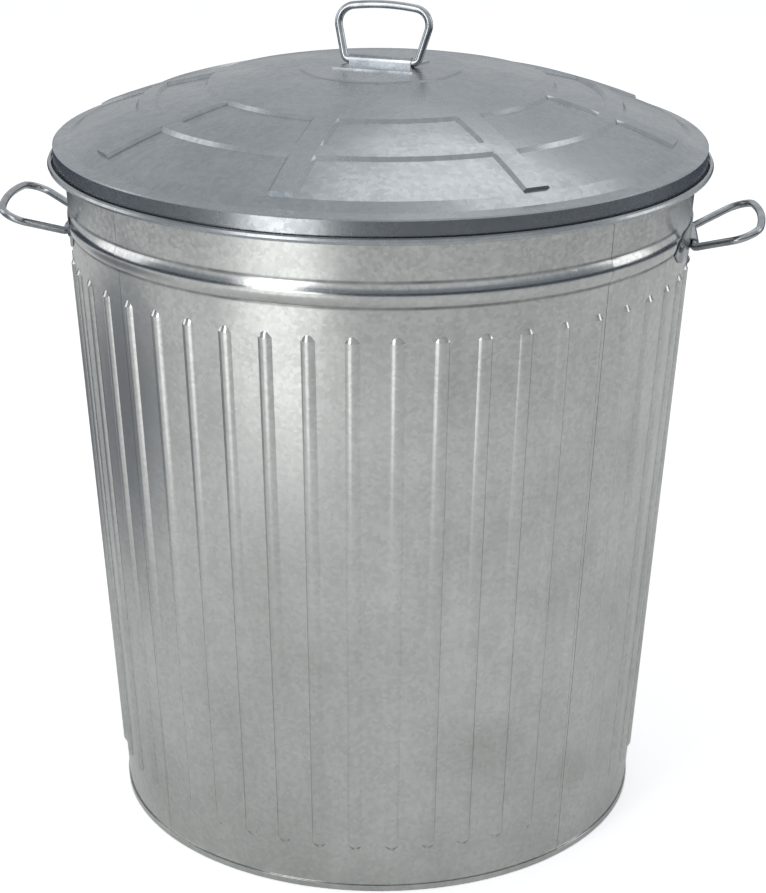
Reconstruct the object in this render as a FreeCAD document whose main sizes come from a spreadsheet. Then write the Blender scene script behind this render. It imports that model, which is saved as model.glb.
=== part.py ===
import FreeCAD, Part
import Sketcher
import math
import os
import re
from FreeCAD import Placement, Rotation, Vector

# A round sheet-metal bin with a domed lid. Four pressed wall sheets carry 48 upright flutes, a
# hoop and a rolled rim. Two wire loops swing in folded ears, a third one swings on the lid.
# Millimetres, +Z up, origin on the upright axis at the floor, side handles on the X axis.
doc = FreeCAD.newDocument("bin")
sheet = doc.addObject("Spreadsheet::Sheet", "Sizes")
sizes = {
    # wall
    "foot_radius": 212.85,
    "wall_slope": 0.06296,
    "wall_gauge": 0.7,
    "wall_foot_z": 1.1,
    "stock_depth": 8,
    "seam_angle": 94,
    "seam_slit": 0.08,
    "rim_z": 546.7,
    "rim_bend": 2.05,
    "rim_end_angle": 245,
    "seat_gap": 0.3,
    # hoop
    "hoop_low_drop": 63,
    "hoop_high_drop": 44.5,
    "hoop_radius": 14.5,
    "hoop_root": 0.2,
    "hoop_stop_angle": 22,
    # flutes
    "flute_pitch": 7.5,
    "flute_low_z": 36,
    "flute_top_drop": 83.7,
    "short_flute_drop": 112.7,
    "flute_width": 10.5,
    "flute_rise": 2.2,
    "flute_sector": 130,
    "flute_cap_angle": 38,
    "plain_low_z": 31,
    "plain_high_drop": 77.7,
    # lap flange
    "lap_width_angle": 4,
    "lap_low_z": 24,
    "lap_top_drop": 8.7,
    # base disc
    "floor_z": 18,
    "floor_gauge": 0.8,
    "floor_bend": 2,
    "hem_height": 5,
    "hem_corner": 0.5,
    # side handles and ears
    "wire_radius": 3,
    "wire_bend": 4,
    "bar_stand": 3.40696,
    "bar_drop": 72.7,
    "bar_half": 29.7,
    "loop_half": 55.9,
    "loop_depth": 55.4,
    "loop_bow": 8.3,
    "loop_corner": 15.5,
    "rest_lift": 21,
    "ear_gauge": 1,
    "ear_fit": 0.06,
    "ear_half": 18.5,
    "leaf_rise": 9,
    "leaf_half_height": 12,
    "leaf_half": 85,
    "leaf_straight_half": 60,
    "tang_half": 7,
    "tang_drop": 31,
    "rivet_angle": 17.5,
    "rivet_rise": 2,
    "tang_rivet_rise": 13,
    "rivet_radius": 1.6,
    "rivet_fit": 0.15,
    "rivet_head_radius": 3.5,
    "rivet_head_height": 1.8,
    "rivet_tail_radius": 3,
    "rivet_tail_height": 1,
    # lid
    "lid_gauge": 0.7,
    "lid_turn": -12.5,
    "dome_radius": 607,
    "crown_rise": 60.3,
    "panel_drop": 2.3,
    "pad_radius": 63.6,
    "pad_drop": 2.4,
    "plateau_inset": 119.3,
    "ring_in_inset": 80.3,
    "ring_out_inset": 65.8,
    "rib_half": 11,
    "rib_end_inset": 22.3,
    "shoulder_inset": 20,
    "ledge_width": 10.8,
    "ledge_in_rise": 4.8,
    "skirt_stand": 7.029768,
    "ledge_out_rise": 2.9,
    "curl_drop": 11.8,
    "curl_bend": 1.9,
    "void_rise": 3.1,
    # lid handle and strap
    "lid_bar_rise": 3.4,
    "lid_bar_half": 29.3,
    "lid_loop_half": 39.5,
    "lid_loop_depth": 42.8,
    "lid_loop_bow": 4.5,
    "lid_loop_corner": 13,
    "rest_lean": 13,
    "strap_half": 24.8,
    "strap_flange_half": 32,
    "strap_flange_depth": 24,
    "strap_waist_depth": 5,
}
for row, (name, number) in enumerate(sizes.items(), 1):
    sheet.set("A" + str(row), name)
    sheet.set("B" + str(row), str(number))
    sheet.setAlias("B" + str(row), name)
doc.recompute()


# Places that follow from the sizes: heights hang on the rim, lid radii on the skirt, the skirt and
# the side handles on the wall.
places = {
    "hoop_low_z": "rim_z-hoop_low_drop",
    "hoop_high_z": "rim_z-hoop_high_drop",
    "flute_high_z": "rim_z-flute_top_drop",
    "short_flute_z": "rim_z-short_flute_drop",
    "plain_high_z": "rim_z-plain_high_drop",
    "lap_high_z": "rim_z-lap_top_drop",
    "bar_z": "rim_z-bar_drop",
    "bar_x": "foot_radius+wall_slope*bar_z+bar_stand",
    "leaf_z": "bar_z+leaf_rise",
    "tang_low_z": "bar_z-tang_drop",
    "rivet_z": "leaf_z+rivet_rise",
    "tang_rivet_z": "tang_low_z+tang_rivet_rise",
    "skirt_radius": "foot_radius+wall_slope*rim_z+skirt_stand",
    "plateau_radius": "skirt_radius-plateau_inset",
    "ring_in_radius": "skirt_radius-ring_in_inset",
    "ring_out_radius": "skirt_radius-ring_out_inset",
    "rib_end_radius": "skirt_radius-rib_end_inset",
    "shoulder_radius": "skirt_radius-shoulder_inset",
    "ledge_in_radius": "skirt_radius-ledge_width",
    "ledge_in_z": "rim_z+ledge_in_rise",
    "ledge_out_z": "rim_z+ledge_out_rise",
    "curl_z": "rim_z-curl_drop",
    "void_low_z": "curl_z+void_rise",
    "crown_z": "rim_z+crown_rise",
    "dome_centre_z": "crown_z-dome_radius",
    "pad_z": "crown_z-pad_drop",
    "lid_bar_z": "pad_z+lid_bar_rise",
}


def linked(text):
    def pick(word):
        name = word.group(0)
        if name in places:
            return "(" + linked(places[name]) + ")"
        return "Sizes." + name if name in sizes else name
    return re.sub(r"[a-z][a-z_]+", pick, text)


def value(text):
    number = sheet.evalExpression(linked(text))
    return float(getattr(number, "Value", number))


def origin(body, role):
    found = [item for item in body.Origin.OriginFeatures if item.Role == role]
    return found[0]


def new_body(label):
    body = doc.addObject("PartDesign::Body", label)
    body.Label = label
    return body


# A sketch on one of the body's own planes, turned about the plane's own "x" or "y" axis.
def new_sketch(body, label, plane, turn=None, about="y"):
    sketch = body.newObject("Sketcher::SketchObject", label)
    sketch.AttachmentSupport = [(origin(body, plane), "")]
    sketch.MapMode = "FlatFace"
    if turn:
        axis = Vector(0, 1, 0) if about == "y" else Vector(1, 0, 0)
        sketch.AttachmentOffset = Placement(Vector(), Rotation(axis, value(turn)))
        sketch.setExpression("AttachmentOffset.Rotation.Angle", linked(turn))
    return sketch


# Closed outline through the corners (x, y, bend). A bend is (radius, side) for the arc that leads
# to the next corner: side 1 keeps its centre on the left hand, side -1 on the right hand.
def outline(sketch, corners):
    first = sketch.GeometryCount
    spots = [Vector(value(c[0]), value(c[1]), 0) for c in corners]
    starts = []
    ends = []
    for index, corner in enumerate(corners):
        here = spots[index]
        there = spots[(index + 1) % len(spots)]
        if len(corner) == 2:
            sketch.addGeometry(Part.LineSegment(here, there), False)
            starts.append(1)
            ends.append(2)
            continue
        radius = value(corner[2])
        side = corner[3]
        chord = there - here
        reach = math.sqrt(max(radius ** 2 - (chord.Length / 2) ** 2, 0))
        across = Vector(-chord.y, chord.x, 0).normalize()
        centre = here + chord * 0.5 + across * (reach * side)
        low = here if side > 0 else there
        high = there if side > 0 else here
        a = math.atan2(low.y - centre.y, low.x - centre.x)
        b = math.atan2(high.y - centre.y, high.x - centre.x)
        circle = Part.Circle(centre, Vector(0, 0, 1), radius)
        sketch.addGeometry(Part.ArcOfCircle(circle, a, b), False)
        starts.append(1 if side > 0 else 2)
        ends.append(2 if side > 0 else 1)
    count = len(corners)
    for index, corner in enumerate(corners):
        here = first + index
        after = first + (index + 1) % count
        join = starts[(index + 1) % count]
        sketch.addConstraint(Sketcher.Constraint("Coincident", here, ends[index], after, join))
        pin(sketch, here, starts[index], corner[0], corner[1])
        if len(corner) == 4:
            spot = sketch.addConstraint(Sketcher.Constraint("Radius", here, value(corner[2])))
            sketch.setExpression("Constraints[" + str(spot) + "]", linked(corner[2]))


def pin(sketch, geometry, point, x, y):
    for text, kind, line in ((x, "DistanceX", -2), (y, "DistanceY", -1)):
        if text == "0":
            sketch.addConstraint(Sketcher.Constraint("PointOnObject", geometry, point, line))
            continue
        rule = Sketcher.Constraint(kind, -1, 1, geometry, point, value(text))
        spot = sketch.addConstraint(rule)
        sketch.setExpression("Constraints[" + str(spot) + "]", linked(text))


def disc(sketch, x, y, radius):
    circle = Part.Circle(Vector(value(x), value(y), 0), Vector(0, 0, 1), value(radius))
    index = sketch.addGeometry(circle, False)
    pin(sketch, index, 3, x, y)
    spot = sketch.addConstraint(Sketcher.Constraint("Radius", index, value(radius)))
    sketch.setExpression("Constraints[" + str(spot) + "]", linked(radius))


# Turning round an axis, "add" or "cut", half the angle to each side of the sketch.
def revolve(body, label, sketch, angle, add=True, axis="V_Axis"):
    feature = body.newObject("PartDesign::Revolution" if add else "PartDesign::Groove", label)
    feature.Profile = sketch
    feature.ReferenceAxis = (sketch, [axis])
    feature.Midplane = True
    feature.setExpression("Angle", linked(angle))
    sketch.Visibility = False
    settle(body, feature)
    return feature


def extrude(body, label, sketch, length, add=True):
    feature = body.newObject("PartDesign::Pad" if add else "PartDesign::Pocket", label)
    feature.Profile = sketch
    feature.SideType = "Symmetric"
    feature.setExpression("Length", linked(length))
    sketch.Visibility = False
    settle(body, feature)
    return feature


def drill(body, label, sketch):
    feature = body.newObject("PartDesign::Pocket", label)
    feature.Profile = sketch
    feature.Type = "ThroughAll"
    feature.Reversed = True
    sketch.Visibility = False
    settle(body, feature)
    return feature


def ring(body, label, feature, count, span):
    pattern = body.newObject("PartDesign::PolarPattern", label)
    pattern.Originals = [feature]
    pattern.Axis = (origin(body, "Z_Axis"), [""])
    pattern.setExpression("Angle", linked(span))
    pattern.setExpression("Occurrences", linked(count))
    settle(body, pattern)
    return pattern


def settle(body, feature):
    feature.Refine = False
    body.Tip = feature
    doc.recompute()


def skin(z):
    return "(foot_radius+wall_slope*(" + z + "))"


# Lean of the wall from upright, in degrees.
wall_lean = "(atan(wall_slope)/1deg)"


# The rolled rim is bent in short steps of an eighth turn, which keeps its mesh light.
roll_steps = ["135", "90", "45", "0", "-45", "-90"]


# Points of the rolled rim: angle in degrees round the roll, radius text.
def rolled(angle, radius):
    centre = "(" + skin("rim_z") + "+rim_bend/cos(" + wall_lean + "))"
    x = centre + "+(" + radius + ")*cos(" + angle + ")"
    z = "rim_z+(" + radius + ")*sin(" + angle + ")"
    return x, z


# One upright flute as a rod with round ends, its axis behind the sheet; "shrink" makes its hollow.
def flute(body, label, turn, high, shrink, add):
    depth = "((flute_width^2/4-flute_rise^2)/(2*flute_rise))"
    radius = "((flute_width^2/4+flute_rise^2)/(2*flute_rise)-" + shrink + ")"
    low = "(flute_low_z+flute_width/2)"
    top = "(" + high + "-flute_width/2)"
    sketch = new_sketch(body, label + "_outline", "XZ_Plane", turn)
    spots = []
    along_cap = "cos(flute_cap_angle)"
    out_cap = "sin(flute_cap_angle)"
    for z, along, out in ((low, "-" + along_cap, "0"), (low, "-" + along_cap, out_cap),
                          (low, "0", "1"), (top, "0", "1"), (top, along_cap, out_cap),
                          (top, along_cap, "0")):
        x = skin(z) + "-" + depth + "*cos(" + wall_lean + ")"
        x = x + "+" + radius + "*(" + along + "*sin(" + wall_lean + ")+" + out + "*cos(" + wall_lean + "))"
        y = z + "+" + depth + "*sin(" + wall_lean + ")"
        y = y + "+" + radius + "*(" + along + "*cos(" + wall_lean + ")-" + out + "*sin(" + wall_lean + "))"
        spots.append((x, y))
    outline(sketch, spots)
    ends = [Vector(value(spots[k][0]), value(spots[k][1]), 0) for k in (0, 5)]
    axle = sketch.addGeometry(Part.LineSegment(ends[0], ends[1]), True)
    sketch.addConstraint(Sketcher.Constraint("Coincident", axle, 1, 0, 1))
    sketch.addConstraint(Sketcher.Constraint("Coincident", axle, 2, 5, 1))
    return revolve(body, label, sketch, "flute_sector", add, "Axis0")


def flutes(body, label, turn, high, count, span):
    rod = flute(body, label + "_rods", turn, high, "0", True)
    if count != "1":
        ring(body, label + "_row", rod, count, span)


def flute_hollows(body, label, turn, high, count, span):
    rod = flute(body, label + "_hollow", turn, high, "wall_gauge", False)
    if count != "1":
        ring(body, label + "_hollow_row", rod, count, span)


# The hoop as a lens of metal on the sheet, and the hollow behind it.
def hoop(body, label, turn, span, add):
    sketch = new_sketch(body, label + "_outline", "XZ_Plane", turn)
    if add:
        inset = "0"
        radius = "hoop_radius"
        back = "1.5"
    else:
        inset = "wall_gauge"
        radius = "(hoop_radius-wall_gauge)"
        back = "(stock_depth+2)"
    low = "(hoop_low_z+" + inset + ")"
    high = "(hoop_high_z-" + inset + ")"
    corners = [(skin(low) + "-" + inset + "-hoop_root", low, radius, 1)]
    if not add:
        # the hidden back goes round in four flat steps
        corners = [corners[0][:2]]
        half = "((" + high + "-" + low + ")/2)"
        for share in ("-0.5", "0", "0.5"):
            z = "(" + low + "+(1+" + share + ")*" + half + ")"
            rise = "sqrt(" + radius + "^2-(" + share + "*" + half + ")^2)"
            rise = rise + "-sqrt(" + radius + "^2-" + half + "^2)"
            corners.append((skin(z) + "-" + inset + "-hoop_root+" + rise, z))
    corners.append((skin(high) + "-" + inset + "-hoop_root", high))
    corners.append((skin(high) + "-" + inset + "-" + back, high))
    corners.append((skin(low) + "-" + inset + "-" + back, low))
    outline(sketch, corners)
    revolve(body, label, sketch, span, add)


# One wall sheet, centred on +X of its own frame.
def wall_panel(label, placed, span, broad):
    body = new_body(label)
    sketch = new_sketch(body, label + "_section", "XZ_Plane")
    bend = "rim_bend"
    back = "(rim_bend+wall_gauge)"
    start = "(180-" + wall_lean + ")"
    tail = "rim_end_angle"
    turn_z = rolled(start, back)[1]
    corners = [(skin("wall_foot_z") + "-stock_depth", "wall_foot_z")]
    corners.append((skin("wall_foot_z"), "wall_foot_z"))
    corners.append((skin("plain_low_z"), "plain_low_z"))
    corners.append((skin("plain_high_z"), "plain_high_z"))
    corners = corners + [rolled(angle, bend) for angle in [start] + roll_steps + [tail]]
    corners = corners + [rolled(angle, back) for angle in [tail] + roll_steps[::-1] + [start]]
    corners.append((skin(turn_z) + "-stock_depth", turn_z))
    outline(sketch, corners)
    revolve(body, label + "_stock", sketch, span + "-seam_slit")
    if broad:
        hoop(body, label + "_hoop", None, span + "-seam_slit", True)
        flutes(body, label + "_flutes", "-6*flute_pitch", "flute_high_z", "13", "12*flute_pitch")
    else:
        middle = "(" + span + "/2+hoop_stop_angle)/2"
        reach = span + "/2-hoop_stop_angle-seam_slit/2"
        hoop(body, label + "_hoop_left", middle, reach, True)
        hoop(body, label + "_hoop_right", "-" + middle, reach, True)
        flutes(body, label + "_left", "flute_pitch", "flute_high_z", "5", "4*flute_pitch")
        flutes(body, label + "_right", "-5*flute_pitch", "flute_high_z", "5", "4*flute_pitch")
        flutes(body, label + "_middle", None, "short_flute_z", "1", "0")
    # inside face of the sheet
    sketch = new_sketch(body, label + "_inside", "XZ_Plane")
    inner = "-wall_gauge/cos(" + wall_lean + ")"
    corners = [(skin("wall_foot_z-1") + "-stock_depth-3", "wall_foot_z-1")]
    corners.append((skin("wall_foot_z-1") + inner, "wall_foot_z-1"))
    corners.append((skin("plain_low_z") + inner, "plain_low_z"))
    corners.append((skin("plain_high_z") + inner, "plain_high_z"))
    corners.append(rolled(start, back))
    corners.append((skin(turn_z) + "-stock_depth-3", turn_z))
    outline(sketch, corners)
    revolve(body, label + "_bore", sketch, span + "+4", False)
    if broad:
        hoop(body, label + "_hoop_back", None, span + "+2", False)
        flute_hollows(body, label, "-6*flute_pitch", "flute_high_z", "13", "12*flute_pitch")
    else:
        middle = "(" + span + "/2+1+hoop_stop_angle+0.2)/2"
        reach = span + "/2+1-hoop_stop_angle-0.2"
        hoop(body, label + "_hoop_back_left", middle, reach, False)
        hoop(body, label + "_hoop_back_right", "-" + middle, reach, False)
        flute_hollows(body, label + "_left", "flute_pitch", "flute_high_z", "5", "4*flute_pitch")
        flute_hollows(body, label + "_right", "-5*flute_pitch", "flute_high_z", "5",
                      "4*flute_pitch")
        flute_hollows(body, label + "_middle", None, "short_flute_z", "1", "0")
        middle = "(" + span + "/2+0.5)"
        for side, sign in (("left", ""), ("right", "-")):
            lap_flange(body, label + "_lap_" + side, sign + middle)
        rivet_holes(body, label)
    body.Placement = Placement(Vector(), Rotation(Vector(0, 0, 1), placed))
    return body


# The strip that reaches behind the neighbouring sheet, joggled in by one sheet and the seat gap.
def lap_flange(body, label, middle):
    step = "(wall_gauge+seat_gap)"
    sketch = new_sketch(body, label + "_outline", "XZ_Plane", middle)
    corners = [(skin("lap_low_z") + "-" + step + "-wall_gauge", "lap_low_z")]
    corners.append((skin("lap_low_z") + "-" + step, "lap_low_z"))
    corners.append((skin("lap_high_z") + "-" + step, "lap_high_z"))
    corners.append((skin("lap_high_z") + "-" + step + "-wall_gauge", "lap_high_z"))
    outline(sketch, corners)
    revolve(body, label, sketch, "lap_width_angle")
    sketch = new_sketch(body, label + "_joggle_outline", "XZ_Plane",
                        middle.replace("+0.5", "-0.5-lap_width_angle/4"))
    corners = [(skin("lap_low_z") + "-" + step + "-wall_gauge/2", "lap_low_z")]
    corners.append((skin("lap_low_z") + "-wall_gauge/2", "lap_low_z"))
    corners.append((skin("lap_high_z") + "-wall_gauge/2", "lap_high_z"))
    corners.append((skin("lap_high_z") + "-" + step + "-wall_gauge/2", "lap_high_z"))
    outline(sketch, corners)
    revolve(body, label + "_joggle", sketch, "lap_width_angle/4")


def rivet_holes(body, label):
    for place, turn, z in (("left", "rivet_angle", "rivet_z"), ("right", "-rivet_angle", "rivet_z"),
                           ("tang", None, "tang_rivet_z")):
        sketch = new_sketch(body, label + "_hole_" + place + "_outline", "YZ_Plane", turn)
        disc(sketch, "0", z, "rivet_radius+rivet_fit")
        drill(body, label + "_hole_" + place, sketch)


front = wall_panel("front_wall_panel", -90, "seam_angle", True)
back = wall_panel("back_wall_panel", 90, "seam_angle", True)
right = wall_panel("right_wall_panel", 0, "(180-seam_angle)", False)
left = wall_panel("left_wall_panel", 180, "(180-seam_angle)", False)
parts = [front, back, right, left]

# Hidden round wire the top edge is rolled over.
rim_wire = new_body("rim_wire")
sketch = new_sketch(rim_wire, "rim_wire_section", "XZ_Plane")
outline(sketch, [rolled(angle, "rim_bend-seat_gap") for angle in roll_steps + ["-135", "180"]])
revolve(rim_wire, "rim_wire_ring", sketch, "360")
parts.append(rim_wire)


# Recessed floor pan: its flange runs down inside the wall and is hemmed up round the wall's foot.
def flange(z, depth):
    return skin(z) + "-wall_gauge/cos(" + wall_lean + ")-seat_gap-" + depth


def hem(z, depth):
    return skin(z) + "+seat_gap+" + depth


base_disc = new_body("base_disc")
sketch = new_sketch(base_disc, "base_disc_section", "XZ_Plane")
corners = [("0", "floor_z")]
corners.append((flange("floor_z", "floor_bend"), "floor_z"))
corners.append((flange("floor_z-floor_bend", "0"), "floor_z-floor_bend"))
corners.append((flange("floor_gauge", "0"), "floor_gauge"))
corners.append((hem("floor_gauge", "0"), "floor_gauge"))
corners.append((hem("hem_height", "0"), "hem_height"))
corners.append((hem("hem_height", "floor_gauge"), "hem_height"))
corners.append((hem("hem_corner", "floor_gauge"), "hem_corner"))
corners.append((hem("hem_corner", "floor_gauge-hem_corner"), "0"))
corners.append((flange("hem_corner", "floor_gauge+hem_corner"), "0"))
corners.append((flange("hem_corner", "floor_gauge"), "hem_corner"))
corners.append((flange("floor_z-floor_bend", "floor_gauge"), "floor_z-floor_bend"))
corners.append((flange("floor_z", "floor_bend"), "floor_z-floor_gauge"))
corners.append(("0", "floor_z-floor_gauge"))
outline(sketch, corners)
revolve(base_disc, "base_disc_pan", sketch, "360")
parts.append(base_disc)


# Folded ear: a leaf on the wall with a lower tang and a half-round channel over the handle bar.
def ear(label, placed):
    body = new_body(label)
    sketch = new_sketch(body, label + "_sheet_section", "XZ_Plane")
    low = "(tang_low_z-5)"
    high = "(leaf_z+leaf_half_height+5)"
    corners = [(skin(low) + "+seat_gap", low)]
    corners.append((skin(low) + "+seat_gap+ear_gauge", low))
    corners.append((skin(high) + "+seat_gap+ear_gauge", high))
    corners.append((skin(high) + "+seat_gap", high))
    outline(sketch, corners)
    revolve(body, label + "_sheet", sketch, "48")
    sketch = new_sketch(body, label + "_leaf_outline", "YZ_Plane")
    top = "leaf_z+leaf_half_height"
    under = "leaf_z-leaf_half_height"
    tip = "((leaf_half-leaf_straight_half)^2+leaf_half_height^2)/(2*leaf_half_height)"
    foot = "tang_low_z+tang_half"
    corners = [("-leaf_straight_half", top, tip, 1), ("-leaf_half", "leaf_z", tip, 1)]
    corners.append(("-leaf_straight_half", under))
    corners.append(("-tang_half", under))
    corners.append(("-tang_half", foot, "tang_half", 1))
    corners.append(("0", "tang_low_z", "tang_half", 1))
    corners.append(("tang_half", foot))
    corners.append(("tang_half", under))
    corners.append(("leaf_straight_half", under, tip, 1))
    corners.append(("leaf_half", "leaf_z", tip, 1))
    corners.append(("leaf_straight_half", top))
    outline(sketch, corners)
    frame = [("-leaf_half-30", "tang_low_z-30"), ("leaf_half+30", "tang_low_z-30")]
    frame = frame + [("leaf_half+30", "leaf_z+40"), ("-leaf_half-30", "leaf_z+40")]
    outline(sketch, frame)
    drill(body, label + "_trim", sketch)
    # channel over the bar
    for part, radius, reach, length, add in (
            ("channel", "wire_radius+ear_fit+ear_gauge", "3", "2*ear_half", True),
            ("slot", "wire_radius+ear_fit", "6", "2*ear_half+11", False)):
        sketch = new_sketch(body, label + "_" + part + "_outline", "XZ_Plane")
        corners = [("bar_x-" + reach, "bar_z-(" + radius + ")")]
        corners.append(("bar_x", "bar_z-(" + radius + ")", radius, 1))
        corners.append(("bar_x+(" + radius + ")", "bar_z", radius, 1))
        corners.append(("bar_x", "bar_z+(" + radius + ")"))
        corners.append(("bar_x-" + reach, "bar_z+(" + radius + ")"))
        outline(sketch, corners)
        extrude(body, label + "_" + part, sketch, length, add)
    rivet_holes(body, label)
    body.Placement = Placement(Vector(), Rotation(Vector(0, 0, 1), placed))
    return body


parts.append(ear("right_handle_ear", 0))
parts.append(ear("left_handle_ear", 180))


# Rivet with its shank along X: domed head outside the ear, flat tail inside the wall.
def rivet(label, turn, z, placed):
    body = new_body(label)
    sketch = new_sketch(body, label + "_section", "XZ_Plane")
    seat = skin(z) + "+ear_gauge+2*seat_gap"
    tail = skin(z) + "-wall_gauge-seat_gap"
    corners = [(tail + "-rivet_tail_height", z)]
    corners.append((seat + "+rivet_head_height", z))
    corners.append((seat + "+rivet_head_height*0.7", z + "+rivet_head_radius*0.6"))
    corners.append((seat, z + "+rivet_head_radius"))
    corners.append((seat, z + "+rivet_radius"))
    corners.append((tail, z + "+rivet_radius"))
    corners.append((tail, z + "+rivet_tail_radius"))
    corners.append((tail + "-rivet_tail_height", z + "+rivet_tail_radius"))
    outline(sketch, corners)
    ends = [Vector(value(corners[k][0]), value(z), 0) for k in (0, 1)]
    axle = sketch.addGeometry(Part.LineSegment(ends[0], ends[1]), True)
    sketch.addConstraint(Sketcher.Constraint("Coincident", axle, 1, 0, 1))
    sketch.addConstraint(Sketcher.Constraint("Coincident", axle, 2, 0, 2))
    revolve(body, label + "_turned", sketch, "360", True, "Axis0")
    angle = placed + value(turn)
    body.Placement = Placement(Vector(), Rotation(Vector(0, 0, 1), angle))
    return body


def rivet_set(label, placed):
    made = [rivet(label + "_front", "-rivet_angle", "rivet_z", placed)]
    made.append(rivet(label + "_rear", "rivet_angle", "rivet_z", placed))
    made.append(rivet(label + "_tang", "0", "tang_rivet_z", placed))
    group = doc.addObject("Part::Compound", label)
    group.Label = label
    group.Links = made
    doc.recompute()
    return group


parts.append(rivet_set("right_ear_rivets", 0))
parts.append(rivet_set("left_ear_rivets", 180))


# Closed wire loop in the XY plane of its own frame: bar on the Y axis, loop reaching along +X.
def wire_loop(label, half, top_half, depth, bow, corner):
    body = new_body(label)
    path = new_sketch(body, label + "_path", "XY_Plane")
    a = value(half)
    b = value(top_half)
    d = value(depth)
    w = value(bow)
    low = value("wire_bend")
    high = value(corner)
    crown = (b * b + w * w) / (2 * w)
    bar = Vector(0, a, 0)
    shoulder = Vector(d - w, b, 0)
    slope = shoulder - bar
    slope.normalize()
    # bend beside the bar
    lower = math.acos(slope.dot(Vector(0, -1, 0)))
    step = low / math.tan(lower / 2)
    bar_end = bar - Vector(0, step, 0)
    arm_low = bar + slope * step
    low_centre = bar_end + Vector(low, 0, 0)
    # bend between the arm and the bowed crown
    crown_centre = Vector(d - crown, 0, 0)
    inside = Vector(slope.y, -slope.x, 0)
    reach = crown - high
    start = bar + inside * high - crown_centre
    along = start.dot(slope)
    run = -along + math.sqrt(along * along - start.dot(start) + reach * reach)
    high_centre = bar + inside * high + slope * run
    arm_high = bar + slope * run
    outward = high_centre - crown_centre
    outward.normalize()
    crown_end = high_centre + outward * high
    mirror = lambda spot: Vector(spot.x, -spot.y, 0)
    path.addGeometry(Part.LineSegment(Vector(0, 0, 0), bar_end), False)
    arcs = [(bar_end, low_centre, arm_low), None, (arm_high, high_centre, crown_end),
            (crown_end, crown_centre, mirror(crown_end)),
            (mirror(crown_end), mirror(high_centre), mirror(arm_high)), None,
            (mirror(arm_low), mirror(low_centre), mirror(bar_end))]
    lines = {1: (arm_low, arm_high), 5: (mirror(arm_high), mirror(arm_low))}
    for index, arc in enumerate(arcs):
        if arc is None:
            path.addGeometry(Part.LineSegment(*lines[index]), False)
            continue
        middle = arc[0] + arc[2] - arc[1] * 2
        middle.normalize()
        middle = arc[1] + middle * (arc[0] - arc[1]).Length
        path.addGeometry(Part.Arc(arc[0], middle, arc[2]), False)
    path.addGeometry(Part.LineSegment(mirror(bar_end), Vector(0, 0, 0)), False)
    section = new_sketch(body, label + "_section", "XZ_Plane")
    disc(section, "0", "0", "wire_radius")
    pipe = body.newObject("PartDesign::AdditivePipe", label + "_sweep")
    pipe.Profile = section
    pipe.Spine = (path, ["Edge" + str(k + 1) for k in range(9)])
    section.Visibility = False
    path.Visibility = False
    settle(body, pipe)
    return body


for label, sign, turned in (("right_handle_wire", 1, 0), ("left_handle_wire", -1, 180)):
    loop = wire_loop(label, "bar_half", "loop_half", "loop_depth", "loop_bow", "loop_corner")
    lift = Rotation(Vector(0, 1, 0), -value("rest_lift"))
    spin = Rotation(Vector(0, 0, 1), turned)
    loop.Placement = Placement(Vector(sign * value("bar_x"), 0, value("bar_z")), spin * lift)
    parts.append(loop)


# Pressed lid: flat pad, plateau, recessed panels between eight radial ribs and one ring rib,
# sloping shoulder, ledge that rests on the rim, skirt with an open outward curl.
def dome(radius, level):
    return "(dome_centre_z+sqrt((dome_radius-" + level + ")^2-(" + radius + ")^2))"


def lid_levels(inset):
    high = "(" + inset + ")"
    low = "(panel_drop+" + inset + ")"
    slope = "panel_drop"
    step = "(" + inset + ")*0.414"
    spots = [("pad_radius+0.9-" + step, high)]
    spots.append(("plateau_radius-" + slope + "/2-" + step, high))
    spots.append(("plateau_radius+" + slope + "/2-" + step, low))
    spots.append(("ring_in_radius-" + slope + "/2+" + step, low))
    spots.append(("ring_in_radius+" + slope + "/2+" + step, high))
    spots.append(("ring_out_radius-" + slope + "/2-" + step, high))
    spots.append(("ring_out_radius+" + slope + "/2-" + step, low))
    spots.append(("shoulder_radius-" + step, low))
    corners = []
    for index, (radius, level) in enumerate(spots):
        corner = (radius, dome(radius, level))
        if index in (0, 2, 4, 6):
            corner = corner + ("(dome_radius-" + level + ")", -1)
        corners.append(corner)
    return corners


def curled(angle, radius):
    x = "(skirt_radius+curl_bend)+(" + radius + ")*cos(" + angle + ")"
    z = "curl_z+(" + radius + ")*sin(" + angle + ")"
    return x, z


lid_shell = new_body("lid_shell")
sketch = new_sketch(lid_shell, "lid_shell_section", "XZ_Plane")
bend = "curl_bend"
back = "(curl_bend+lid_gauge)"
corners = [("0", "void_low_z"), ("0", "pad_z"), ("pad_radius", "pad_z")]
corners = corners + lid_levels("0")
corners.append(("ledge_in_radius", "ledge_in_z"))
corners.append(("skirt_radius-1", "ledge_out_z+0.15"))
corners.append(("skirt_radius", "ledge_out_z-0.85"))
curl_steps = ["180", "225", "270", "315", "0", "45", "90"]
corners = corners + [curled(angle, bend) for angle in curl_steps]
corners = corners + [curled(angle, back) for angle in curl_steps[::-1]]
corners.append(("skirt_radius-lid_gauge", "void_low_z"))
outline(sketch, corners)
revolve(lid_shell, "lid_shell_stock", sketch, "360")


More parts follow.
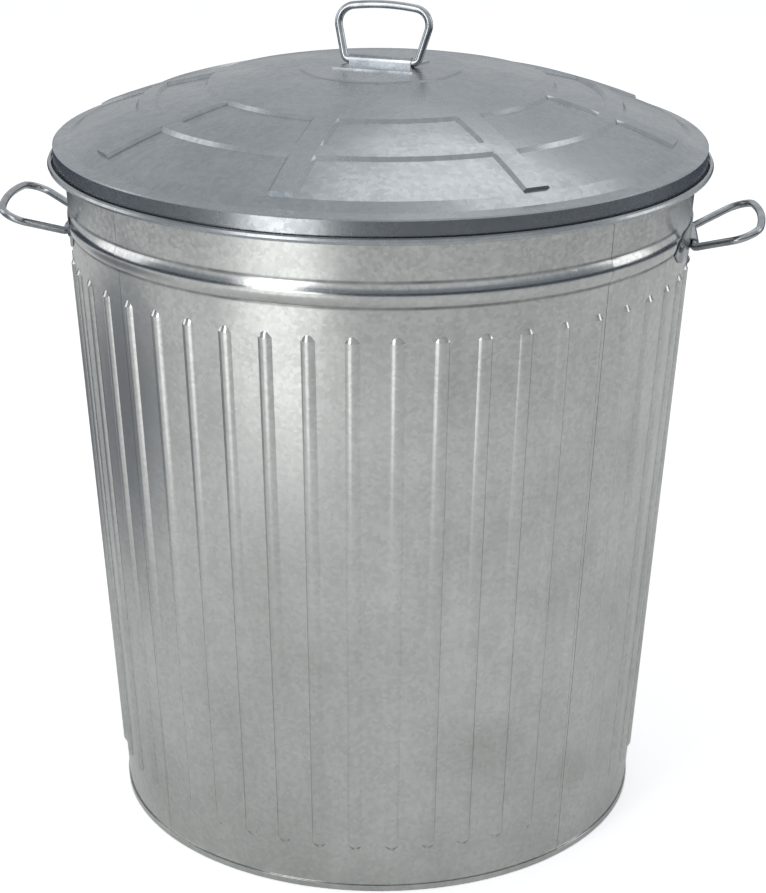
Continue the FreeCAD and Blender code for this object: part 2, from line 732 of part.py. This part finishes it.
def rib(label, inset, first, last, add):
    turn = "((" + first + "+" + last + ")/2)"
    sketch = new_sketch(lid_shell, label + "_outline", "YZ_Plane", turn, "x")
    turned = sketch.AttachmentOffset.Rotation
    sketch.AttachmentOffset = Placement(Vector(0, value("dome_centre_z"), 0), turned)
    sketch.setExpression("AttachmentOffset.Base.y", linked("dome_centre_z"))
    low = "(dome_radius-panel_drop-" + inset + ")"
    high = "(dome_radius-" + inset + ")"
    wide = "(rib_half-" + inset + "*0.414)"
    narrow = "(rib_half-panel_drop-" + inset + "*0.414)"
    corners = [("-" + wide, low + "-3"), (wide, low + "-3"), (wide, low), (narrow, high)]
    corners = corners + [("-" + narrow, high), ("-" + wide, low)]
    outline(sketch, corners)
    return revolve(lid_shell, label, sketch, last + "-" + first, add, "H_Axis")


rib_end = "(asin(rib_end_radius/dome_radius)/1deg)"
rod = rib("lid_ribs", "0", "7", rib_end, True)
ring(lid_shell, "lid_rib_ring", rod, "8", "360")
sketch = new_sketch(lid_shell, "lid_shell_inside", "XZ_Plane")
under = "lid_gauge"
corners = [("0", "void_low_z-0.5"), ("0", "pad_z-" + under), ("pad_radius-0.3", "pad_z-" + under)]
corners = corners + lid_levels("lid_gauge")
corners.append(("ledge_in_radius-0.4", "ledge_in_z-0.72"))
corners.append(("skirt_radius-lid_gauge-0.5", "ledge_out_z-0.6"))
corners.append(("skirt_radius-lid_gauge", "ledge_out_z-1.1"))
corners.append(("skirt_radius-lid_gauge", "void_low_z-0.5"))
outline(sketch, corners)
revolve(lid_shell, "lid_shell_hollow", sketch, "360", False)
rod = rib("lid_rib_backs", "lid_gauge", "9", rib_end + "-0.06", False)
ring(lid_shell, "lid_rib_back_ring", rod, "8", "360")
lid_shell.Placement = Placement(Vector(), Rotation(Vector(0, 0, 1), value("lid_turn")))
parts.append(lid_shell)

# Strap on the pad: two flanges and a half-round channel over the bar, which lies along X.
strap = new_body("lid_handle_strap")
sketch = new_sketch(strap, "strap_flange_outline", "XY_Plane")
sketch.AttachmentOffset = Placement(Vector(0, 0, value("pad_z")), Rotation())
sketch.setExpression("AttachmentOffset.Base.z", linked("pad_z"))
waist = "(strap_half+1)"
corners = [("-strap_flange_half", "-strap_flange_depth")]
corners.append(("strap_flange_half", "-strap_flange_depth"))
corners.append((waist, "-strap_waist_depth"))
corners.append((waist, "strap_waist_depth"))
corners.append(("strap_flange_half", "strap_flange_depth"))
corners.append(("-strap_flange_half", "strap_flange_depth"))
corners.append(("-" + waist, "strap_waist_depth"))
corners.append(("-" + waist, "-strap_waist_depth"))
outline(sketch, corners)
flanges = extrude(strap, "strap_flanges", sketch, "ear_gauge")
flanges.SideType = "One side"
doc.recompute()
for part, radius, low, length, add in (
        ("channel", "wire_radius+ear_fit+ear_gauge", "pad_z+0.2", "2*strap_half", True),
        ("slot", "wire_radius+ear_fit", "pad_z-3", "2*strap_flange_half+8", False)):
    sketch = new_sketch(strap, "strap_" + part + "_outline", "YZ_Plane")
    corners = [("-(" + radius + ")", low), (radius, low)]
    corners.append((radius, "lid_bar_z", radius, 1))
    corners.append(("0", "lid_bar_z+" + radius, radius, 1))
    corners.append(("-(" + radius + ")", "lid_bar_z"))
    outline(sketch, corners)
    extrude(strap, "strap_" + part, sketch, length, add)
strap.Placement = Placement(Vector(), Rotation(Vector(0, 0, 1), value("lid_turn")))
parts.append(strap)

lid_loop = wire_loop("lid_handle_wire", "lid_bar_half", "lid_loop_half", "lid_loop_depth",
                     "lid_loop_bow", "lid_loop_corner")
upright = Rotation(Vector(0, 1, 0), -90)
lean = Rotation(Vector(1, 0, 0), -value("rest_lean"))
across = Rotation(Vector(0, 0, 1), 90)
spin = Rotation(Vector(0, 0, 1), value("lid_turn"))
lid_loop.Placement = Placement(Vector(0, 0, value("lid_bar_z")), spin * lean * across * upright)
parts.append(lid_loop)

doc.recompute()
for item in doc.Objects:
    if "Invalid" in item.State or "Error" in item.State:
        raise RuntimeError("not built: " + item.Label)
os.makedirs("parts", exist_ok=True)
for item in parts:
    if item.Shape.isNull() or not item.Shape.isValid():
        raise RuntimeError("bad shape: " + item.Label)
    item.Shape.exportStep("parts/" + item.Label + ".step")
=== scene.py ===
import math
import bpy
import bmesh
from mathutils import Matrix, Vector

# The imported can: every wall sheet, wire, ear and rivet comes in as its own solid, at real size.
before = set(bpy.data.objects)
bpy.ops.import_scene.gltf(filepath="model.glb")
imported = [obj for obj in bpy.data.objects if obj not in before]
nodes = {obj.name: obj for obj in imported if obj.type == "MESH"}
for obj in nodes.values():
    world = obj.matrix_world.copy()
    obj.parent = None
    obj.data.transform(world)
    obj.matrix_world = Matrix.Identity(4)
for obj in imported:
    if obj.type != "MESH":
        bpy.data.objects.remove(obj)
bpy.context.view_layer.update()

# ---------------------------------------------------------------- wall sheets and floor pan
# Four pressed sheets lapped into a cone and hemmed round a floor pan. The steel was dipped in
# molten zinc, which freezes in flat crystals a few millimetres wide, each a slightly different
# grey, and dulls where it is handled.


def hex_to_linear(text):
    steps = [int(text[k:k + 2], 16) / 255 for k in (1, 3, 5)]
    return tuple([s / 12.92 if s <= 0.04045 else ((s + 0.055) / 1.055) ** 2.4 for s in steps] + [1])


def add_node(tree, kind, inputs=None, **settings):
    node = tree.nodes.new(kind)
    for name, value in settings.items():
        setattr(node, name, value)
    for name, value in (inputs or {}).items():
        if isinstance(value, bpy.types.NodeSocket):
            tree.links.new(value, node.inputs[name])
        else:
            node.inputs[name].default_value = value
    return node


def grey_steps(ramp, steps):
    while len(ramp.elements) < len(steps):
        ramp.elements.new(0.5)
    for element, (place, text) in zip(ramp.elements, steps):
        element.position = place
        element.color = hex_to_linear(text)


def galvanised(name, dark, middle, light, crystal_mm, rough, wave_mm, wave_height_mm, blotch, dark_patches,
               painted_shade_creases):
    """Hot-dip zinc on steel sheet: crystals, cloudy handling marks and the ripple of thin sheet."""
    material = bpy.data.materials.new(name)
    material.use_nodes = True
    tree = material.node_tree
    tree.nodes.clear()
    place = add_node(tree, "ShaderNodeTexCoord").outputs["Object"]
    # crystals: one grey per cell, with uneven edges
    bent = add_node(tree, "ShaderNodeTexNoise", {"Vector": place, "Scale": 1000 / (crystal_mm * 1.5),
                                                 "Detail": 2.0, "Roughness": 0.6})
    shift = add_node(tree, "ShaderNodeVectorMath", {0: bent.outputs["Color"], "Scale": crystal_mm / 1200},
                     operation="SCALE")
    moved = add_node(tree, "ShaderNodeVectorMath", {0: place, 1: shift.outputs[0]}, operation="ADD")
    cell = add_node(tree, "ShaderNodeTexVoronoi", {"Vector": moved.outputs[0],
                                                   "Scale": 1000 / crystal_mm, "Randomness": 1.0})
    tone = add_node(tree, "ShaderNodeSeparateColor", {0: cell.outputs["Color"]})
    # clouds and upright streaks: broad patches where the zinc has dulled
    cloud = add_node(tree, "ShaderNodeTexNoise", {"Vector": place, "Scale": 1000 / 90.0,
                                                  "Detail": 6.0, "Roughness": 0.62})
    streak_place = add_node(tree, "ShaderNodeMapping", {"Vector": place, "Scale": (1.0, 1.0, 0.16)})
    streak = add_node(tree, "ShaderNodeTexNoise", {"Vector": streak_place.outputs[0],
                                                   "Scale": 1000 / 30.0, "Detail": 4.0,
                                                   "Roughness": 0.55})
    blend = add_node(tree, "ShaderNodeMath", {0: tone.outputs[0], 1: 0.22}, operation="MULTIPLY")
    blend = add_node(tree, "ShaderNodeMath", {0: cloud.outputs[0], 1: blotch, 2: blend.outputs[0]},
                     operation="MULTIPLY_ADD")
    blend = add_node(tree, "ShaderNodeMath", {0: streak.outputs[0], 1: 0.35, 2: blend.outputs[0]},
                     operation="MULTIPLY_ADD")
    # round patches: darker and rougher round their centre, broken up by the streaks
    for spot, size in dark_patches:
        away = add_node(tree, "ShaderNodeVectorMath", {0: moved.outputs[0], 1: spot},
                        operation="DISTANCE")
        fade = add_node(tree, "ShaderNodeMapRange", {0: away.outputs["Value"], 1: size * 0.3,
                                                     2: size, 3: 0.3, 4: 0.0})
        patchy = add_node(tree, "ShaderNodeMath", {0: fade.outputs[0], 1: streak.outputs[0]},
                          operation="MULTIPLY")
        blend = add_node(tree, "ShaderNodeMath", {0: blend.outputs[0], 1: patchy.outputs[0]},
                         operation="SUBTRACT")
    ramp = add_node(tree, "ShaderNodeValToRGB", {0: blend.outputs[0]})
    grey_steps(ramp.color_ramp, [(0.3, dark), (0.62, middle), (0.95, light)])
    colour = ramp.outputs[0]
    # painted shade: dark lines in the creases along the hoop, which stop short of the ears
    ear_start = 0.229
    axes = add_node(tree, "ShaderNodeSeparateXYZ", {0: place})
    for height in painted_shade_creases:
        rise = add_node(tree, "ShaderNodeMath", {0: axes.outputs["Z"], 1: height}, operation="SUBTRACT")
        near = add_node(tree, "ShaderNodeMath", {0: rise.outputs[0]}, operation="ABSOLUTE")
        line = add_node(tree, "ShaderNodeMapRange", {0: near.outputs[0], 1: 0.0004, 2: 0.0018,
                                                     3: 1.0, 4: 0.0})
        side = add_node(tree, "ShaderNodeMath", {0: axes.outputs["X"]}, operation="ABSOLUTE")
        front = add_node(tree, "ShaderNodeMath", {0: side.outputs[0], 1: ear_start},
                         operation="LESS_THAN")
        kept = add_node(tree, "ShaderNodeMath", {0: line.outputs[0], 1: front.outputs[0]},
                        operation="MULTIPLY")
        patchy = add_node(tree, "ShaderNodeMath", {0: kept.outputs[0], 1: streak.outputs[0]},
                          operation="MULTIPLY")
        crease_shade = add_node(tree, "ShaderNodeMix", {0: patchy.outputs[0], 6: colour,
                                                 7: hex_to_linear("#1E2226")}, data_type="RGBA")
        colour = crease_shade.outputs[2]
    # dull patches are rougher, bright ones smoother
    gloss = add_node(tree, "ShaderNodeMapRange", {0: blend.outputs[0], 1: 0.3, 2: 0.95,
                                                  3: rough + 0.07, 4: rough - 0.07})
    # ripple of the thin sheet and the faint relief of the crystals
    ripple = add_node(tree, "ShaderNodeTexNoise", {"Vector": place, "Scale": 1000 / wave_mm,
                                                   "Detail": 2.0, "Roughness": 0.45})
    wave = add_node(tree, "ShaderNodeBump", {"Height": ripple.outputs[0], "Strength": 1.0,
                                             "Distance": wave_height_mm / 1000})
    relief = add_node(tree, "ShaderNodeBump", {"Height": tone.outputs[1], "Strength": 0.35,
                                               "Distance": 0.00003, "Normal": wave.outputs[0]})
    shader = add_node(tree, "ShaderNodeBsdfPrincipled", {"Base Color": colour,
                                                         "Metallic": 1.0,
                                                         "Roughness": gloss.outputs[0],
                                                         "Normal": relief.outputs[0]})
    add_node(tree, "ShaderNodeOutputMaterial", {"Surface": shader.outputs[0]})
    return material


def finish_nodes(names, material):
    for name in names:
        node = nodes[name]
        node.data.materials.clear()
        node.data.materials.append(material)


# darker, rougher round patches low on the wall: place on the sheet and reach, in metres
low_dark_patches = [((0.1635, -0.144, 0.08), 0.03), ((0.108, -0.192, 0.124), 0.034),
          ((-0.165, -0.142, 0.061), 0.045), ((0.05, 0.212, 0.1), 0.05)]
# heights of the creases above and below the hoop, where dark lines of painted shade are drawn
hoop_shade_crease_heights = [0.5026, 0.4833]
# bright, lightly clouded zinc: soft upright reflections between the flutes
wall_zinc = galvanised("galvanised_wall_sheet", "#B6B7B4", "#C8C9C7", "#DADBD9", 3.0, 0.2,
                       120.0, 0.5, 0.75, low_dark_patches, hoop_shade_crease_heights)
wall_names = ["front_wall_panel", "back_wall_panel", "left_wall_panel", "right_wall_panel"]
finish_nodes(wall_names + ["base_disc"], wall_zinc)

# ---------------------------------------------------------------- lid
# One dome pressed from the same zinc sheet, loose on the rim. It is painted darker and bluer than the
# wall, as painted shade for the greyer room that its upturned face mirrors, and it has duller
# reflections.
darker_lid_zinc = galvanised("galvanised_lid_sheet_painted_darker", "#9A9FA2", "#AAAEB1", "#BABDBF", 4.0, 0.28,
                      90.0, 0.9, 0.8, [], [])
finish_nodes(["lid_shell"], darker_lid_zinc)


# ---------------------------------------------------------------- handle loops and rim wire
# Drawn steel wire, 6 mm thick in the handles, zinc-plated and bent to a closed loop. The loops
# hang in folded ears. They are smoother and darker than the sheet.
def plated(name, low, high, rough, grain_mm):
    """Thin zinc plating on wire or strip: an even grey with faint stains."""
    material = bpy.data.materials.new(name)
    material.use_nodes = True
    tree = material.node_tree
    tree.nodes.clear()
    place = add_node(tree, "ShaderNodeTexCoord").outputs["Object"]
    grain = add_node(tree, "ShaderNodeTexNoise", {"Vector": place, "Scale": 1000 / grain_mm,
                                                  "Detail": 5.0, "Roughness": 0.6})
    ramp = add_node(tree, "ShaderNodeValToRGB", {0: grain.outputs[0]})
    grey_steps(ramp.color_ramp, [(0.3, low), (0.7, high)])
    gloss = add_node(tree, "ShaderNodeMapRange", {0: grain.outputs[0], 1: 0.3, 2: 0.7,
                                                  3: rough + 0.06, 4: rough - 0.06})
    bump = add_node(tree, "ShaderNodeBump", {"Height": grain.outputs[0], "Strength": 0.5,
                                             "Distance": 0.00015})
    shader = add_node(tree, "ShaderNodeBsdfPrincipled", {"Base Color": ramp.outputs[0],
                                                         "Metallic": 1.0,
                                                         "Roughness": gloss.outputs[0],
                                                         "Normal": bump.outputs[0]})
    add_node(tree, "ShaderNodeOutputMaterial", {"Surface": shader.outputs[0]})
    return material


# clean plating: a thin bright line along each bend of the wire
wire_zinc = plated("zinc_plated_wire", "#9A9DA0", "#C2C5C7", 0.24, 12.0)
finish_nodes(["left_handle_wire", "right_handle_wire", "lid_handle_wire", "rim_wire"], wire_zinc)

# ---------------------------------------------------------------- ears, lid strap and rivets
# Zinc-plated steel strip folded over the wires. The ears are riveted to the wall, three dull
# rivets each, and the strap is spot-welded to the lid.
strip_zinc = plated("zinc_plated_strip", "#969A9E", "#BFC3C6", 0.26, 15.0)
finish_nodes(["left_handle_ear", "right_handle_ear", "lid_handle_strap"], strip_zinc)
# dark, dull heads that stand out from the ears
rivet_zinc = plated("dull_zinc_rivet", "#66696B", "#8F9294", 0.42, 4.0)
finish_nodes(["left_ear_rivets", "right_ear_rivets"], rivet_zinc)


# ---------------------------------------------------------------- floor, light and camera
# Plain white studio: a matt floor that runs off in all directions, soft boxes and a pale dome.
# The camera stands where the photograph was taken.
floor_mesh = bpy.data.meshes.new("studio_floor")
shape = bmesh.new()
bmesh.ops.create_grid(shape, x_segments=1, y_segments=1, size=12)
shape.to_mesh(floor_mesh)
shape.free()
floor = bpy.data.objects.new("studio_floor", floor_mesh)
bpy.context.collection.objects.link(floor)

# Matt white to the eye. What the zinc mirrors is pale near the can and dark further off, which
# draws the flutes, with brighter and darker patches as in the room of the photograph.
floor_paint = bpy.data.materials.new("matt_studio_floor")
floor_paint.use_nodes = True
tree = floor_paint.node_tree
tree.nodes.clear()
place = add_node(tree, "ShaderNodeTexCoord").outputs["Object"]


def floor_patch(centre, inner, outer, level_inside, level_outside):
    """A round patch on the floor that fades from one level to the other between two radii."""
    away = add_node(tree, "ShaderNodeVectorMath", {0: place, 1: centre}, operation="DISTANCE")
    fade = add_node(tree, "ShaderNodeMapRange", {0: away.outputs["Value"], 1: inner, 2: outer,
                                                 3: level_inside, 4: level_outside},
                    interpolation_type="SMOOTHSTEP")
    return fade.outputs[0]


sweep = floor_patch((0, 0, 0), 1.65, 2.0, 0.0, 1.0)
glow = floor_patch((-1.0, -1.95, 0), 0.45, 0.9, 0.0, 1.0)
shade = floor_patch((-1.05, 0.2, 0), 0.2, 0.65, 0.7, 0.0)
far = add_node(tree, "ShaderNodeMath", {0: sweep, 1: glow}, operation="MULTIPLY")
far = add_node(tree, "ShaderNodeMath", {0: far.outputs[0], 1: shade}, operation="MAXIMUM")
sheet_end = add_node(tree, "ShaderNodeMix", {0: far.outputs[0], 6: hex_to_linear("#E4E4E2"),
                                             7: hex_to_linear("#4A5260")}, data_type="RGBA")
ray = add_node(tree, "ShaderNodeLightPath")
paint = add_node(tree, "ShaderNodeMix", {0: ray.outputs["Is Glossy Ray"],
                                         6: hex_to_linear("#FFFFFF"), 7: sheet_end.outputs[2]},
                 data_type="RGBA")
matt = add_node(tree, "ShaderNodeBsdfDiffuse", {"Color": paint.outputs[2]})
# lifts the floor to white for the camera alone, so that it keeps the can's shadow
lift = add_node(tree, "ShaderNodeEmission", {"Color": (1, 1, 1, 1), "Strength": 0.38})
seen = add_node(tree, "ShaderNodeMixShader", {0: ray.outputs["Is Camera Ray"], 2: lift.outputs[0]})
# a glare on the floor that only the zinc mirrors, low on the left of the wall
glare = floor_patch((-0.62, -1.15, 0), 0.15, 0.55, 0.7, 0.0)
sheen = add_node(tree, "ShaderNodeMath", {0: glare, 1: ray.outputs["Is Glossy Ray"]},
                 operation="MULTIPLY")
bright = add_node(tree, "ShaderNodeEmission", {"Strength": sheen.outputs[0]})
lit = add_node(tree, "ShaderNodeAddShader", {0: matt.outputs[0], 1: bright.outputs[0]})
both = add_node(tree, "ShaderNodeAddShader", {0: lit.outputs[0], 1: seen.outputs[0]})
add_node(tree, "ShaderNodeOutputMaterial", {"Surface": both.outputs[0]})
floor_mesh.materials.append(floor_paint)

# White behind the can, an even pale light on it, and in the mirrored room a greyer band that
# stands low in front and gives the lid and the skirt their darker side.
world = bpy.data.worlds.new("studio_dome")
bpy.context.scene.world = world
world.use_nodes = True
tree = world.node_tree
tree.nodes.clear()
ray = add_node(tree, "ShaderNodeLightPath")
soft = add_node(tree, "ShaderNodeBackground", {"Color": hex_to_linear("#D2D5D8"), "Strength": 0.9})
way = add_node(tree, "ShaderNodeSeparateXYZ",
               {0: add_node(tree, "ShaderNodeTexCoord").outputs["Generated"]})
low = add_node(tree, "ShaderNodeMapRange", {0: way.outputs["Z"], 1: 0.2, 2: 0.5, 3: 1.0, 4: 0.0},
               interpolation_type="SMOOTHSTEP")
fore = add_node(tree, "ShaderNodeMapRange", {0: way.outputs["Y"], 1: -0.2, 2: 0.3, 3: 1.0, 4: 0.0},
                interpolation_type="SMOOTHSTEP")
card = add_node(tree, "ShaderNodeMath", {0: low.outputs[0], 1: fore.outputs[0]}, operation="MULTIPLY")
room = add_node(tree, "ShaderNodeMix", {0: card.outputs[0], 6: hex_to_linear("#C9CCCF"),
                                        7: hex_to_linear("#858C94")}, data_type="RGBA")
mirrored = add_node(tree, "ShaderNodeBackground", {"Color": room.outputs[2], "Strength": 1.0})
white = add_node(tree, "ShaderNodeBackground", {"Color": (1, 1, 1, 1), "Strength": 1.0})
shown = add_node(tree, "ShaderNodeMixShader", {0: ray.outputs["Is Glossy Ray"],
                                               1: soft.outputs[0], 2: mirrored.outputs[0]})
choose = add_node(tree, "ShaderNodeMixShader", {0: ray.outputs["Is Camera Ray"],
                                                1: shown.outputs[0], 2: white.outputs[0]})
add_node(tree, "ShaderNodeOutputWorld", {"Surface": choose.outputs[0]})


def soft_box(name, azimuth, height, distance, wide, tall, watts):
    """A soft box that faces the can, azimuth in degrees from the front."""
    light = bpy.data.lights.new(name, "AREA")
    light.shape = "RECTANGLE"
    light.size = wide
    light.size_y = tall
    light.energy = watts
    lamp = bpy.data.objects.new(name, light)
    bpy.context.collection.objects.link(lamp)
    turn = math.radians(azimuth)
    spot = Vector((math.sin(turn) * distance, -math.cos(turn) * distance, height))
    aim = Vector((0, 0, 0.35)) - spot
    lamp.matrix_world = Matrix.Translation(spot) @ aim.to_track_quat("-Z", "Y").to_matrix().to_4x4()


soft_box("key_box", -32, 1.35, 2.3, 0.8, 2.2, 15)
soft_box("left_box", -95, 1.2, 2.4, 1.2, 2.0, 7)
soft_box("right_box", 100, 1.3, 2.6, 0.9, 2.0, 7)
soft_box("top_box", 150, 3.0, 1.4, 2.4, 1.6, 9)
# stands near the floor and lights the upright skirt of the lid
soft_box("low_box", -27, 0.1, 2.3, 0.9, 0.3, 3)

camera_azimuth = math.radians(4.5)
camera_distance = 1.7328
camera_height = 0.9489
camera_pitch = 0.36365
camera_yaw = 0.00185
camera_roll = 0.00586
focal_pixels = 2255.7
picture_width = 766
lens = bpy.data.cameras.new("camera")
lens.sensor_fit = "HORIZONTAL"
lens.sensor_width = 36
lens.lens = focal_pixels / picture_width * lens.sensor_width
camera = bpy.data.objects.new("camera", lens)
bpy.context.collection.objects.link(camera)
spot = Vector((math.sin(camera_azimuth) * camera_distance,
               -math.cos(camera_azimuth) * camera_distance, camera_height))
camera.matrix_world = (Matrix.Translation(spot)
                       @ Matrix.Rotation(camera_azimuth - camera_yaw, 4, "Z")
                       @ Matrix.Rotation(math.pi / 2 - camera_pitch, 4, "X")
                       @ Matrix.Rotation(camera_roll, 4, "Z"))
bpy.context.scene.camera = camera
bpy.context.scene.view_settings.view_transform = "Standard"
